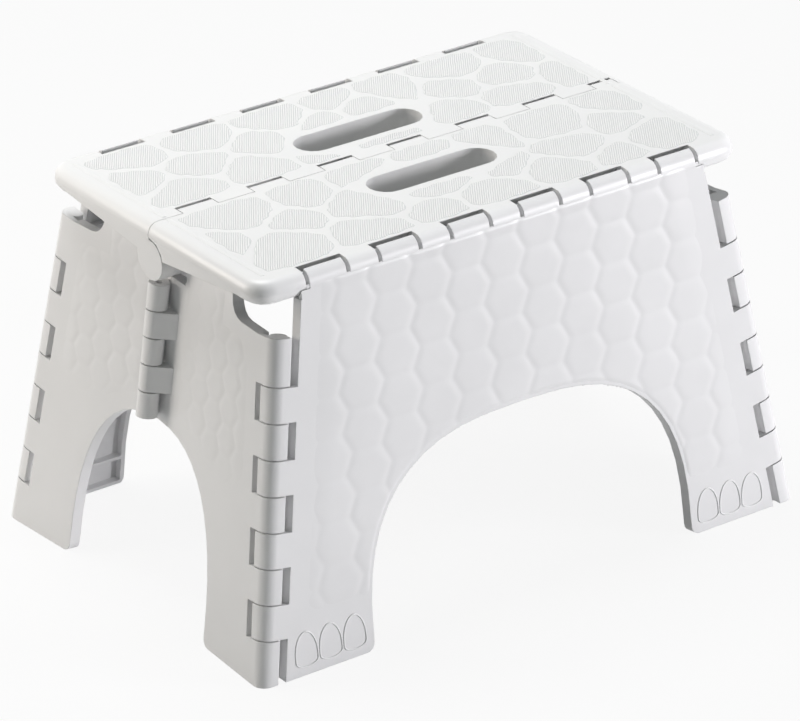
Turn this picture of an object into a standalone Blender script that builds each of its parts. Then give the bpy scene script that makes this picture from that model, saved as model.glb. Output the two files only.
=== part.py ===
"""Folding step stool: a two-piece tread on two side panels and four end panels.

Every panel is a moulded skin with a rim and ribs behind it. Interleaved fingers and hinge pins join the
panels, so that pulling the middle of the tread up folds the stool flat.
Units are metres. +X runs along the tread, +Y to the back and +Z up. The stool stands open on z = 0.
"""

import math

import bmesh
import bpy
from mathutils import Matrix, Vector

# Overall sizes
STOOL_HEIGHT = 0.229
TREAD_LENGTH = 0.336
TREAD_WIDTH = 0.214
FLOOR_LENGTH = 0.3815  # over the outer corners, on the floor
SIDE_SPLAY = 0.117  # how far a side panel leans out for each unit of height
CORNER_SPLAY = 0.158  # how far a corner leans out lengthwise for each unit of height
END_RECESS = 0.008  # how far the middle of an end stands in from its corners, on the floor

# Moulded walls
TREAD_SKIN = 0.0035
PANEL_SKIN = 0.0028
RIM = 0.003
RIB = 0.0022
EDGE_RADIUS = 0.0075  # rolled edge of the tread, half the tread's depth
TREAD_CORNER = 0.014
PANEL_DEPTH = 0.0075  # corner hinge axes lie this deep behind the outer faces

# Clearances
PIN_GAP = 0.0003  # round a pin in its bore
CLOSE_GAP = 0.0003  # in front of the hinge plane, so that folded panels don't rub
FINGER_GAP = 0.0005  # between a turning finger and the panel cut away round it
STATION_GAP = 0.0008  # between neighbouring knuckles along a pin
SEAM_GAP = 0.0003  # where the tread halves and the end panels butt
FLUSH_STEP = 0.00005  # a finger's face stands this far behind its panel's face
TREAD_CLEARANCE = 0.0015  # between the tread's underside and the end panels

# Tread seam hinge
SEAM_DEPTH = 0.022  # its axis below the top face
SEAM_PITCH = 0.0241
LOBE_RADIUS = 0.0125
TONGUE_REACH = 0.0064  # the front half's knuckles carry tongues that reach past the seam
SLIT_WIDTH = 0.0026  # open slit at the tip of a tongue
SLIT_LIP = 0.0005  # skin at a slit's far edge, thicker by the slope behind it
SLIT_SLOPE = math.radians(24)
EAR_INSET = 0.0005
SKIRT_DEPTH = 0.0205  # wall under the tread's ends, at the seam
SKIRT_WALL = 0.0032
SEAM_PIN_RADIUS = 0.0025

# Long edge hinges
FINGER_PITCH = 0.0484
FINGER_WIDTH = 0.0245
FINGER_SIDE_GAP = 0.0025
FINGER_NECK = 0.005
FINGER_STOP = math.radians(18)  # the curl ends this far short of the top, before an open slot
FINGER_EYE = 0.0044
EDGE_MARGIN = 0.006  # least solid edge beyond the last finger
EDGE_PIN_RADIUS = 0.002
EDGE_PIN_OVERHANG = 0.011

# Hand slots
SLOT_LENGTH = 0.086
SLOT_WIDTH = 0.024
SLOT_MIDDLE = 0.036  # from the seam
SLOT_COLLAR = 0.003

# Corner hinges
CORNER_SETBACK = 0.009  # panel edge to the hinge axis
CORNER_FOOT_STATION = 0.025
CORNER_TOP_STATION = 0.027
KNUCKLE_DROP = 0.0345  # top of the corner knuckles below the tread's top
CORNER_PAIRS = 4  # side panel fingers at each corner, one end panel finger more
CORNER_EYE = 0.005
TIP_LENGTH = 0.004
TIP_THICKNESS = 0.0026
CORNER_PIN_RADIUS = 0.0019
CORNER_PIN_INSET = 0.005

# End hinges, on the outside of the end panels
END_AXIS_OFFSET = 0.008
END_BARREL_RADIUS = 0.0062
END_ARM = 0.011
END_KNUCKLES = 5
END_HINGE_DROP = 0.037  # top of the end hinge below the tread's top
END_HINGE_RISE = 0.004  # foot of the end hinge above the end arch
END_PIN_RADIUS = 0.0018
END_PIN_INSET = 0.002
END_PIVOT_PLAY = 0.0023  # room for the small slack of the folding loop at this pivot

# Arches and openings in the panels
SIDE_ARCH_HALF = 0.113
SIDE_ARCH_HEIGHT = 0.116
SIDE_ARCH_POWER = 2.8
END_ARCH_HALF = 0.070
END_ARCH_HEIGHT = 0.108
END_ARCH_POWER = 2.5
FOOT_ROUND = 0.005
WINDOW_WIDTH = 0.038  # open corner above the end panels' fingers
WINDOW_ROUND = 0.011
END_DIP_HALF = 0.0155  # the end panels dip under the seam hinge
END_DIP_SLOPE = 0.012

# Ribs behind the skins
TREAD_RIB_PITCH = 0.048
TREAD_RIB_LINE = 0.064  # long rib, from the seam
PANEL_RIB_PITCH = 0.048
PANEL_RIB_STEP = 0.041

# Construction
FLOOR_TRIM = 0.003
FLOOR_REACH = 0.5  # half the block that trims the feet level
OVERRUN = 0.002
ARCH_STEPS = 24
ARC_STEP = math.radians(23)
BEVEL_SEGMENTS = 4
PIN_SIDES = 10
BORE_SIDES = 8
RELIEF_SIDES = 12

# Materials
WHITE_PLASTIC = (0.87, 0.875, 0.87, 1.0)
PIN_STEEL = (0.62, 0.63, 0.64, 1.0)

# Values worked out from the sizes above
TREAD_DEPTH = 2 * EDGE_RADIUS
EDGE_AXIS_Y = TREAD_WIDTH / 2 - EDGE_RADIUS
EDGE_AXIS_Z = STOOL_HEIGHT - EDGE_RADIUS
SEAM_AXIS_Z = STOOL_HEIGHT - SEAM_DEPTH
SIDE_LEAN = math.atan(SIDE_SPLAY)
UNDERSIDE_Z = STOOL_HEIGHT - TREAD_DEPTH
POCKET_RADIUS = EDGE_RADIUS + FINGER_GAP
RELIEF_RADIUS = LOBE_RADIUS + FINGER_GAP
WINDOW_Z = STOOL_HEIGHT - KNUCKLE_DROP
CORNER_STATION = (WINDOW_Z - CORNER_FOOT_STATION - CORNER_TOP_STATION) / (2 * CORNER_PAIRS - 1)
END_HINGE_TOP = STOOL_HEIGHT - END_HINGE_DROP
END_HINGE_FOOT = END_ARCH_HEIGHT + END_HINGE_RISE
LONG_FINGERS = 2 * int((TREAD_LENGTH / 2 - EDGE_MARGIN - FINGER_WIDTH / 2 + FINGER_PITCH / 2) / FINGER_PITCH)
SEAM_STATIONS = 2 * int((TREAD_LENGTH / 2 - EDGE_RADIUS) / (2 * SEAM_PITCH))

# Directions in which a flat outline (a, b) is pushed to make a solid
UP = Matrix.Identity(4)
ALONG_X = Matrix(((0, 0, 1, 0), (1, 0, 0, 0), (0, 1, 0, 0), (0, 0, 0, 1)))
INTO_PANEL = Matrix(((1, 0, 0, 0), (0, 0, -1, 0), (0, 1, 0, 0), (0, 0, 0, 1)))


def clear_scene():
    for old in list(bpy.data.objects):
        bpy.data.objects.remove(old)


def new_collection(name):
    collection = bpy.data.collections.new(name)
    bpy.context.scene.collection.children.link(collection)
    return collection


def material(name, colour, roughness, metallic):
    made = bpy.data.materials.new(name)
    made.use_nodes = True
    shader = made.node_tree.nodes["Principled BSDF"]
    shader.inputs["Base Color"].default_value = colour
    shader.inputs["Roughness"].default_value = roughness
    shader.inputs["Metallic"].default_value = metallic
    return made


# Outlines

def arc(centre, radius, start, end):
    """Points along a circle from one angle to another, both ends included."""
    steps = max(1, math.ceil(abs(end - start) / ARC_STEP))
    points = []
    for i in range(steps + 1):
        angle = start + (end - start) * i / steps
        points.append((centre[0] + radius * math.cos(angle), centre[1] + radius * math.sin(angle)))
    return points


def box_outline(low_a, high_a, low_b, high_b):
    return [(low_a, low_b), (high_a, low_b), (high_a, high_b), (low_a, high_b)]


def stadium(half_length, half_width, middle):
    """Slot with round ends, lying along the first axis."""
    reach = half_length - half_width
    quarter = math.pi / 2
    right = arc((reach, middle), half_width, -quarter, quarter)
    left = arc((-reach, middle), half_width, quarter, 3 * quarter)
    return right + left


def superellipse(half, height, power, start, end, steps):
    """Points (across, up) of an arch; angle 0 is at +half on the floor, 90 degrees at the crown."""
    points = []
    for i in range(steps + 1):
        angle = start + (end - start) * i / steps
        across = abs(math.cos(angle)) ** (2 / power) * math.copysign(half, math.cos(angle))
        points.append((across, height * abs(math.sin(angle)) ** (2 / power)))
    return points


# Solids

def prism(outline, low, high, direction):
    """Mesh of a closed flat outline pushed from low to high along its normal."""
    curve = bpy.data.curves.new("outline", "CURVE")
    curve.dimensions = "2D"
    curve.fill_mode = "BOTH"
    curve.extrude = (high - low) / 2
    spline = curve.splines.new("POLY")
    spline.points.add(len(outline) - 1)
    for point, (a, b) in zip(spline.points, outline):
        point.co = (a, b, 0, 1)
    spline.use_cyclic_u = True
    holder = bpy.data.objects.new("outline", curve)
    bpy.context.scene.collection.objects.link(holder)
    evaluated = holder.evaluated_get(bpy.context.evaluated_depsgraph_get())
    mesh = bpy.data.meshes.new_from_object(evaluated)
    bpy.data.objects.remove(holder)
    bpy.data.curves.remove(curve)
    mesh.transform(direction @ Matrix.Translation((0, 0, (low + high) / 2)))
    welded = bmesh.new()
    welded.from_mesh(mesh)
    bmesh.ops.remove_doubles(welded, verts=welded.verts, dist=1e-6)
    bmesh.ops.dissolve_limit(welded, angle_limit=1e-3, verts=welded.verts, edges=welded.edges)
    bmesh.ops.recalc_face_normals(welded, faces=welded.faces)
    welded.to_mesh(mesh)
    welded.free()
    return mesh


def rod(radius, low, high, direction, sides=PIN_SIDES):
    """Mesh of a round bar from low to high along the normal of its end faces."""
    bar = bmesh.new()
    placed = direction @ Matrix.Translation((0, 0, (low + high) / 2))
    bmesh.ops.create_cone(
        bar, cap_ends=True, segments=sides, radius1=radius, radius2=radius, depth=high - low, matrix=placed
    )
    mesh = bpy.data.meshes.new("rod")
    bar.to_mesh(mesh)
    bar.free()
    return mesh


def bore(pin_radius, play, low, high, direction, sides=BORE_SIDES):
    """Mesh of a hole that leaves the given play round a pin's full circle."""
    return rod((pin_radius + play) / math.cos(math.pi / sides), low, high, direction, sides)


def gathered(name, meshes):
    """One mesh of several separate bodies."""
    together = bmesh.new()
    for mesh in meshes:
        together.from_mesh(mesh)
        bpy.data.meshes.remove(mesh)
    joined = bpy.data.meshes.new(name)
    together.to_mesh(joined)
    together.free()
    return joined


def add_boolean(target, operation, tool):
    step = target.modifiers.new(tool.name, "BOOLEAN")
    step.operation = operation
    step.solver = "EXACT"
    step.object = tool


def helper(name, meshes, parent):
    """A cutter or an addition that rides on the piece it shapes and isn't shown."""
    tool = bpy.data.objects.new(name, gathered(name, meshes))
    CUTTERS.objects.link(tool)
    tool.parent = parent
    tool.hide_render = True
    tool.display_type = "WIRE"
    return tool


def shape(target, operation, name, meshes):
    tool = helper(f"{target.name}.{name}", meshes, target)
    add_boolean(target, operation, tool)
    return tool


def piece(name, mesh, colour, roughness, metallic):
    made = bpy.data.objects.new(name, mesh)
    mesh.name = name
    mesh.materials.clear()
    mesh.materials.append(material(f"{name}_finish", colour, roughness, metallic))
    PARTS.objects.link(made)
    return made


def moulding(name, mesh):
    return piece(name, mesh, WHITE_PLASTIC, 0.42, 0.0)


def axis_empty(name, place, parent):
    """Marker on a hinge axis that carries the piece turning about it."""
    marker = bpy.data.objects.new(name, None)
    marker.empty_display_size = 0.02
    PARTS.objects.link(marker)
    marker.parent = parent
    marker.location = place
    return marker


def seat(made, marker, frame):
    """Hang a piece on its axis marker with its own frame at the given place in the world."""
    made.parent = marker
    made.matrix_parent_inverse = Matrix.Translation(-marker.location)
    made.matrix_basis = frame


def hinge_pin(name, radius, low, high, direction, carrier):
    made = piece(name, rod(radius, low, high, direction), PIN_STEEL, 0.35, 1.0)
    made.data.shade_smooth()
    made.data.set_sharp_from_angle(angle=math.radians(40))
    made.parent = carrier
    return made


# Where the panels stand

SIDE_NORMAL = Vector((0, -math.cos(SIDE_LEAN), math.sin(SIDE_LEAN)))
SIDE_ORIGIN = Vector((0, -EDGE_AXIS_Y, EDGE_AXIS_Z)) + EDGE_RADIUS * SIDE_NORMAL
FLOOR_HALF_WIDTH = -SIDE_ORIGIN.y + SIDE_ORIGIN.z * SIDE_SPLAY
CORNER_FOOT = Vector((-FLOOR_LENGTH / 2, -FLOOR_HALF_WIDTH, 0))
CORNER_UP = Vector((CORNER_SPLAY, SIDE_SPLAY, 1)).normalized()
END_MIDDLE_FOOT = Vector((-FLOOR_LENGTH / 2 + END_RECESS, 0, 0))
END_NORMAL = CORNER_UP.cross(CORNER_FOOT - END_MIDDLE_FOOT).normalized()
END_NORMAL *= math.copysign(1, -END_NORMAL.x)
END_ACROSS = CORNER_UP.cross(END_NORMAL).normalized()
END_ACROSS *= math.copysign(1, END_ACROSS.y)
SIDE_ACROSS = SIDE_NORMAL.cross(CORNER_UP).normalized()
SIDE_ACROSS *= math.copysign(1, SIDE_ACROSS.x)
CORNER_ANGLE = END_ACROSS.angle(SIDE_ACROSS)  # between the two panels, square to their hinge axis
CORNER_AXIS = CORNER_FOOT + Matrix((SIDE_NORMAL, END_NORMAL, CORNER_UP)).inverted() @ Vector(
    (-PANEL_DEPTH, -PANEL_DEPTH, 0)
)
END_ORIGIN = CORNER_AXIS + PANEL_DEPTH * END_NORMAL
END_LINE_UP = Vector((-END_NORMAL.z / END_NORMAL.x, 0, 1)).normalized()
END_MIDDLE_OUT = Vector((END_NORMAL.x, 0, END_NORMAL.z))
END_AXIS = END_MIDDLE_FOOT + END_MIDDLE_OUT * (END_AXIS_OFFSET / END_MIDDLE_OUT.dot(END_NORMAL))


def panel_frame(origin, normal, up):
    """Frame with Y into the panel from its outer face and Z along the given line."""
    into = -normal
    across = into.cross(up)
    columns = Matrix((across, into, up)).transposed().to_4x4()
    return Matrix.Translation(origin) @ columns


HALF_TURN = Matrix.Rotation(math.pi, 4, "Z")
MIRROR_Y = Matrix.Diagonal((1, -1, 1))
SIDE_FRAME = panel_frame(SIDE_ORIGIN, SIDE_NORMAL, Vector((0, math.sin(SIDE_LEAN), math.cos(SIDE_LEAN))))
END_FRAME_FRONT = panel_frame(END_ORIGIN, END_NORMAL, CORNER_UP)
END_FRAME_REAR = panel_frame(MIRROR_Y @ END_ORIGIN, MIRROR_Y @ END_NORMAL, MIRROR_Y @ CORNER_UP)
CORNER_TILT = math.atan2(CORNER_UP.x, (SIDE_FRAME.to_3x3().transposed() @ CORNER_UP).z)


def on_corner_axis(z):
    return CORNER_AXIS + CORNER_UP * ((z - CORNER_AXIS.z) / CORNER_UP.z)


def corner_stations():
    """Heights of the knuckles from the foot up, end panel and side panel in turn."""
    heights = [CORNER_FOOT_STATION]
    heights += [CORNER_STATION] * (2 * CORNER_PAIRS - 1)
    heights += [CORNER_TOP_STATION]
    edges = [0.0]
    for height in heights:
        edges.append(edges[-1] + height)
    return list(zip(edges, edges[1:]))


# Knuckles

def corner_knuckle():
    """Section (along own panel, depth) of a corner finger: skin, roll, tip on the neighbour and pin eye."""
    axis = (0, PANEL_DEPTH)
    roll = PANEL_DEPTH - FLUSH_STEP
    root = CORNER_SETBACK + 0.8 * RIM
    far = CORNER_ANGLE + math.pi / 2  # direction of the neighbour's outer face, seen from the axis
    tip = (math.cos(CORNER_ANGLE), math.sin(CORNER_ANGLE))
    turn = arc(axis, roll, -math.pi / 2, far - 2 * math.pi)
    end = (turn[-1][0] + TIP_LENGTH * tip[0], turn[-1][1] + TIP_LENGTH * tip[1])
    inside = (end[0] + TIP_THICKNESS * tip[1], end[1] - TIP_THICKNESS * tip[0])
    eye = arc(axis, CORNER_EYE, math.radians(125), math.radians(-50))
    return [(root, FLUSH_STEP)] + turn + [end, inside] + eye + [(root, PANEL_SKIN)]


def end_knuckle():
    """Section (from the end axis to the corner, depth) of an end hinge knuckle with its arm."""
    bite = END_AXIS_OFFSET + 0.6 * PANEL_SKIN
    barrel = arc((0, 0), END_BARREL_RADIUS, math.radians(80), math.radians(320))
    heel = (SEAM_GAP, bite)
    toe = [(END_ARM, END_AXIS_OFFSET - FINGER_GAP), (END_ARM, bite)]
    return [heel, (SEAM_GAP, END_BARREL_RADIUS)] + barrel + toe


def side_finger():
    """Section (depth, up) of a side panel finger: curl over the tread's edge and eye round the pin."""
    axis = (EDGE_RADIUS, 0)
    roll = EDGE_RADIUS - FLUSH_STEP
    root = -(EDGE_RADIUS + FINGER_GAP + 0.8 * RIM)
    stop = math.pi / 2 + FINGER_STOP
    curl = arc(axis, roll, math.pi, stop)
    eye = arc(axis, FINGER_EYE, stop, -math.radians(80))
    return [(FLUSH_STEP, root)] + curl + eye + [(FINGER_NECK, -0.8 * EDGE_RADIUS), (FINGER_NECK, root)]


def edge_lip():
    """Section (depth, up) of the skin that reaches up to the tread's rolled edge between the fingers."""
    axis = (EDGE_RADIUS, 0)
    face = FLUSH_STEP / 2
    root = -(EDGE_RADIUS + FINGER_GAP + 0.8 * RIM)
    start = math.pi + math.acos((EDGE_RADIUS - face) / POCKET_RADIUS)
    end = math.pi + math.acos((EDGE_RADIUS - PANEL_SKIN) / POCKET_RADIUS)
    return [(face, root)] + arc(axis, POCKET_RADIUS, start, end) + [(PANEL_SKIN, root)]


def seam_lobe():
    """Section (y, z) of a seam knuckle that hangs under the seam edge."""
    axis = (0, -SEAM_DEPTH)
    lobe = arc(axis, LOBE_RADIUS, math.pi / 2, -math.pi)
    top = -EDGE_RADIUS
    return lobe[1:] + [(-LOBE_RADIUS, top), (-SEAM_GAP, top), (-SEAM_GAP, lobe[1][1])]


# Tread halves

def finger_centres():
    return [(i - (LONG_FINGERS - 1) / 2) * FINGER_PITCH for i in range(LONG_FINGERS)]


def seam_stations():
    """Own knuckles and the other half's knuckles along the seam, as (low, high) in x."""
    edge = TREAD_LENGTH / 2
    marks = [i * SEAM_PITCH for i in range(-SEAM_STATIONS, SEAM_STATIONS + 1)]
    spans = list(zip(marks, marks[1:]))
    own = spans[0::2] + [(marks[-1], edge)]
    other = spans[1::2] + [(-edge, marks[0])]
    return own, other


def tread_plate():
    half = TREAD_LENGTH / 2
    front = -TREAD_WIDTH / 2
    near = -SEAM_GAP / 2
    left = arc((-half + TREAD_CORNER, front + TREAD_CORNER), TREAD_CORNER, math.pi, 1.5 * math.pi)
    right = arc((half - TREAD_CORNER, front + TREAD_CORNER), TREAD_CORNER, 1.5 * math.pi, 2 * math.pi)
    return prism([(-half, near)] + left + right + [(half, near)], -TREAD_DEPTH, 0, UP)


def end_skirts():
    """Walls under both ends, deepest at the seam."""
    near = -SEAM_GAP / 2 - FLUSH_STEP
    far = -TREAD_WIDTH / 2 + TREAD_CORNER
    outline = [(near, -EDGE_RADIUS), (near, -SKIRT_DEPTH), (far, -EDGE_RADIUS - RIM), (far, -EDGE_RADIUS)]
    outer = TREAD_LENGTH / 2 - EAR_INSET - FLUSH_STEP
    inner = outer - SKIRT_WALL
    return [prism(outline, -outer, -inner, ALONG_X), prism(outline, inner, outer, ALONG_X)]


def mark_rolled_edges(mesh):
    """Weight the outline edges that are rolled: all but those along the seam."""
    weights = mesh.attributes.new("bevel_weight_edge", "FLOAT", "EDGE")
    for edge in mesh.edges:
        ends = [mesh.vertices[i].co for i in edge.vertices]
        level = abs(ends[0].z - ends[1].z) < 1e-6
        on_seam = all(abs(end.y) < SEAM_GAP for end in ends)
        weights.data[edge.index].value = 1.0 if level and not on_seam else 0.0


def tread_cavity(tread):
    """Hollow under the skin, less the ribs and the collar round the hand slot."""
    half = TREAD_LENGTH / 2 - EDGE_RADIUS - RIM
    low_y = -(EDGE_AXIS_Y - POCKET_RADIUS - RIM)
    high_y = -(RELIEF_RADIUS + RIM)
    hollow = prism(box_outline(-half, half, low_y, high_y), -TREAD_DEPTH - OVERRUN, -TREAD_SKIN, UP)
    cavity = shape(tread, "DIFFERENCE", "cavity", [hollow])
    span = (-TREAD_DEPTH - 2 * OVERRUN, 0)
    long_rib = (-half - OVERRUN, half + OVERRUN, -TREAD_RIB_LINE - RIB / 2, -TREAD_RIB_LINE + RIB / 2)
    ribs = [prism(box_outline(*long_rib), *span, UP)]
    count = int(half / TREAD_RIB_PITCH)
    cross = []
    for i in range(-count, count + 1):
        x = i * TREAD_RIB_PITCH
        cross_rib = box_outline(x - RIB / 2, x + RIB / 2, low_y - OVERRUN, high_y + OVERRUN)
        cross.append(prism(cross_rib, *span, UP))
    collar_outline = stadium(SLOT_LENGTH / 2 + SLOT_COLLAR, SLOT_WIDTH / 2 + SLOT_COLLAR, -SLOT_MIDDLE)
    collar = prism(collar_outline, *span, UP)
    for name, meshes in (("long_rib", ribs), ("cross_ribs", cross), ("collar", [collar])):
        add_boolean(cavity, "DIFFERENCE", helper(f"{tread.name}.{name}", meshes, tread))


def seam_tongues(stations):
    """Tops of the knuckles that carry on past the seam."""
    flat_end = TREAD_LENGTH / 2 - EDGE_RADIUS
    inset = STATION_GAP / 2 + FLUSH_STEP
    tongues = []
    for low, high in stations:
        outline = box_outline(low + inset, min(high - inset, flat_end), -RIM, TONGUE_REACH)
        tongues.append(prism(outline, -SEAM_DEPTH + LOBE_RADIUS / 2, -FLUSH_STEP, UP))
    return tongues


def seam_notches(stations):
    """Room for the other half's tongues, with a slit left at their tips."""
    flat_end = TREAD_LENGTH / 2 - EDGE_RADIUS
    notches = []
    for low, high in stations:
        start = max(low, -flat_end - STATION_GAP / 2)
        outline = box_outline(start, high, -TONGUE_REACH - SLIT_WIDTH, OVERRUN)
        notches.append(prism(outline, -SEAM_DEPTH, OVERRUN, UP))
    return notches


def slit_undercuts(stations):
    """Hollows behind the slits, under a skin that thins out towards them."""
    flat_end = TREAD_LENGTH / 2 - EDGE_RADIUS
    edge = -TONGUE_REACH - SLIT_WIDTH
    far = -RELIEF_RADIUS - RIM - OVERRUN
    drop = (edge - far) * math.tan(SLIT_SLOPE)
    outline = [
        (-TONGUE_REACH, -SLIT_LIP), (edge, -SLIT_LIP), (far, -SLIT_LIP - drop),
        (far, -SEAM_DEPTH), (-TONGUE_REACH, -SEAM_DEPTH),
    ]
    hollows = []
    for low, high in stations:
        start = max(low, -flat_end)
        hollows.append(prism(outline, start + STATION_GAP, high - STATION_GAP, ALONG_X))
    return hollows


def tread_half(name, has_tongues):
    """One half in its own frame: origin on the top face over the seam, the long edge at -Y."""
    plate = tread_plate()
    mark_rolled_edges(plate)
    tread = moulding(name, plate)
    rolled = tread.modifiers.new("rolled_edge", "BEVEL")
    rolled.limit_method = "WEIGHT"
    rolled.width = EDGE_RADIUS - SEAM_GAP / 2
    rolled.segments = BEVEL_SEGMENTS
    shape(tread, "UNION", "end_skirts", end_skirts())
    tread_cavity(tread)

    pockets = []
    edge_axis = Matrix.Translation((0, -EDGE_AXIS_Y, -EDGE_RADIUS)) @ ALONG_X
    half_pocket = FINGER_WIDTH / 2 + FINGER_SIDE_GAP
    quarter = math.pi / 2
    pocket = arc((0, 0), POCKET_RADIUS, -quarter, quarter)
    reach = EDGE_RADIUS + OVERRUN
    pocket += [(0, reach), (-reach, reach), (-reach, -reach), (0, -reach)]
    for x in finger_centres():
        pockets.append(prism(pocket, x - half_pocket, x + half_pocket, edge_axis))
    shape(tread, "DIFFERENCE", "finger_pockets", pockets)

    own, other = seam_stations()
    seam_axis = Matrix.Translation((0, 0, -SEAM_DEPTH)) @ ALONG_X
    edge = TREAD_LENGTH / 2
    reliefs = []
    for low, high in other:
        start = low - OVERRUN if low <= -edge else low
        reliefs.append(bore(RELIEF_RADIUS, 0, start, high, seam_axis, RELIEF_SIDES))
    shape(tread, "DIFFERENCE", "seam_reliefs", reliefs)
    if not has_tongues:
        shape(tread, "DIFFERENCE", "seam_notches", seam_notches(other))
        shape(tread, "DIFFERENCE", "slit_undercuts", slit_undercuts(other))
    lobes = []
    for low, high in own:
        end = high - EAR_INSET if high >= edge else high - STATION_GAP / 2
        lobes.append(prism(seam_lobe(), low + STATION_GAP / 2, end, ALONG_X))
    shape(tread, "UNION", "seam_lobes", lobes)
    if has_tongues:
        shape(tread, "UNION", "seam_tongues", seam_tongues(own))

    slot = prism(stadium(SLOT_LENGTH / 2, SLOT_WIDTH / 2, -SLOT_MIDDLE), -TREAD_DEPTH - OVERRUN, OVERRUN, UP)
    shape(tread, "DIFFERENCE", "hand_slot", [slot])
    bores = [
        bore(SEAM_PIN_RADIUS, PIN_GAP, -SEAM_PIN_HALF - PIN_GAP, SEAM_PIN_HALF + PIN_GAP, seam_axis),
        bore(EDGE_PIN_RADIUS, PIN_GAP, -EDGE_PIN_HALF - PIN_GAP, EDGE_PIN_HALF + PIN_GAP, edge_axis),
    ]
    shape(tread, "DIFFERENCE", "pin_bores", bores)
    return tread


# Side panels

def side_height(z):
    """Distance up a side panel's outer face, from the tread hinge, of a height above the floor."""
    return (z - SIDE_ORIGIN.z) / math.cos(SIDE_LEAN)


def side_outline(inset):
    """Outer face seen square on, drawn in by the inset."""
    axis_foot = SIDE_FRAME.inverted() @ CORNER_AXIS
    slope = math.tan(CORNER_TILT)
    offset = (CORNER_SETBACK + inset) / math.cos(CORNER_TILT)

    def side_x(height):
        return axis_foot.x + slope * (height - axis_foot.z) + offset

    top = -(EDGE_RADIUS + FINGER_GAP + inset)
    foot = side_height(inset) if inset else side_height(-FLOOR_TRIM)
    half = SIDE_ARCH_HALF + inset
    toe = half + (0 if inset else FOOT_ROUND)
    begin = math.asin((FOOT_ROUND / SIDE_ARCH_HEIGHT) ** (SIDE_ARCH_POWER / 2))
    arch = superellipse(half, SIDE_ARCH_HEIGHT + inset, SIDE_ARCH_POWER, math.pi - begin, begin, ARCH_STEPS)
    rounding = [] if inset else arc((toe, FOOT_ROUND), FOOT_ROUND, math.pi, 1.5 * math.pi)
    points = [(-toe, foot)]
    points += [(-x, side_height(z)) for x, z in reversed(rounding)]
    points += [(x, side_height(z)) for x, z in arch]
    points += [(x, side_height(z)) for x, z in rounding]
    points += [(toe, foot), (-side_x(foot), foot), (-side_x(top), top)]
    points += [(side_x(top), top), (side_x(foot), foot)]
    return points


def panel_ribs(low_x, high_x, low_z, high_z):
    """Upright and level ribs on a grid, as bars right through a panel's depth."""
    bars = []
    span = (-PANEL_DEPTH - 2 * OVERRUN, 0)
    for i in range(math.ceil(low_x / PANEL_RIB_PITCH), math.floor(high_x / PANEL_RIB_PITCH) + 1):
        x = i * PANEL_RIB_PITCH
        bars.append(prism(box_outline(x - RIB / 2, x + RIB / 2, low_z, high_z), *span, INTO_PANEL))
    levels = []
    for i in range(math.ceil(low_z / PANEL_RIB_STEP), math.floor(high_z / PANEL_RIB_STEP) + 1):
        z = i * PANEL_RIB_STEP
        levels.append(prism(box_outline(low_x, high_x, z - RIB / 2, z + RIB / 2), *span, INTO_PANEL))
    return bars, levels


def ribbed_panel(name, outline, hollow):
    """Skin with a rim and ribs behind it, its outer face on y = 0."""
    panel = moulding(name, prism(outline, -PANEL_DEPTH + CLOSE_GAP, 0, INTO_PANEL))
    core = prism(hollow, -PANEL_DEPTH - OVERRUN, -PANEL_SKIN, INTO_PANEL)
    cavity = shape(panel, "DIFFERENCE", "cavity", [core])
    across = [x for x, _ in hollow]
    along = [z for _, z in hollow]
    ribs = panel_ribs(min(across), max(across), min(along), max(along))
    for label, bars in zip(("upright_ribs", "level_ribs"), ribs):
        add_boolean(cavity, "DIFFERENCE", helper(f"{name}.{label}", bars, panel))
    return panel


def trim_at_floor(panel):
    add_boolean(panel, "DIFFERENCE", FLOOR)


def side_corner(hand):
    """Frame on a side panel's corner axis, with its outer face on y = 0; hand is 1 at the left corner."""
    foot = SIDE_FRAME.inverted() @ CORNER_AXIS
    return Matrix.Translation((hand * foot.x, 0, foot.z)) @ Matrix.Rotation(hand * CORNER_TILT, 4, "Y")


def along_corner(z):
    """Distance up the corner axis from its foot point, of a height above the floor."""
    return (z - CORNER_AXIS.z) / CORNER_UP.z


def side_panel(name):
    panel = ribbed_panel(name, side_outline(0), side_outline(RIM))
    knuckles = []
    bores = []
    for hand in (1, -1):
        corner = side_corner(hand)
        section = [(hand * a, b) for a, b in corner_knuckle()]
        for low, high in corner_stations()[1::2]:
            low_end = along_corner(low) + STATION_GAP / 2
            knuckles.append(prism(section, low_end, along_corner(high) - STATION_GAP / 2, corner))
        pin_axis = corner @ Matrix.Translation((0, PANEL_DEPTH, 0))
        bores.append(bore(CORNER_PIN_RADIUS, PIN_GAP, *CORNER_PIN_SPAN, pin_axis))
    fingers = []
    for x in finger_centres():
        fingers.append(prism(side_finger(), x - FINGER_WIDTH / 2, x + FINGER_WIDTH / 2, ALONG_X))
    lip_half = finger_centres()[-1] + FINGER_WIDTH / 2 + EDGE_MARGIN
    shape(panel, "UNION", "corner_knuckles", knuckles)
    shape(panel, "UNION", "edge_lip", [prism(edge_lip(), -lip_half, lip_half, ALONG_X)])
    shape(panel, "UNION", "tread_fingers", fingers)
    edge_axis = Matrix.Translation((0, EDGE_RADIUS, 0)) @ ALONG_X
    bores.append(bore(EDGE_PIN_RADIUS, PIN_GAP, -EDGE_PIN_HALF - PIN_GAP, EDGE_PIN_HALF + PIN_GAP, edge_axis))
    shape(panel, "DIFFERENCE", "pin_bores", bores)
    trim_at_floor(panel)
    return panel


# End panels

def end_point(middle, z):
    """Place (from the corner axis, up) on the outer face, of a distance from the middle and a height."""
    x = CORNER_FOOT.x - (END_NORMAL.y * (-middle - CORNER_FOOT.y) + END_NORMAL.z * z) / END_NORMAL.x
    local = END_FRAME_FRONT.inverted() @ Vector((x, -middle, z))
    return (-local.x, local.z)


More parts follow.
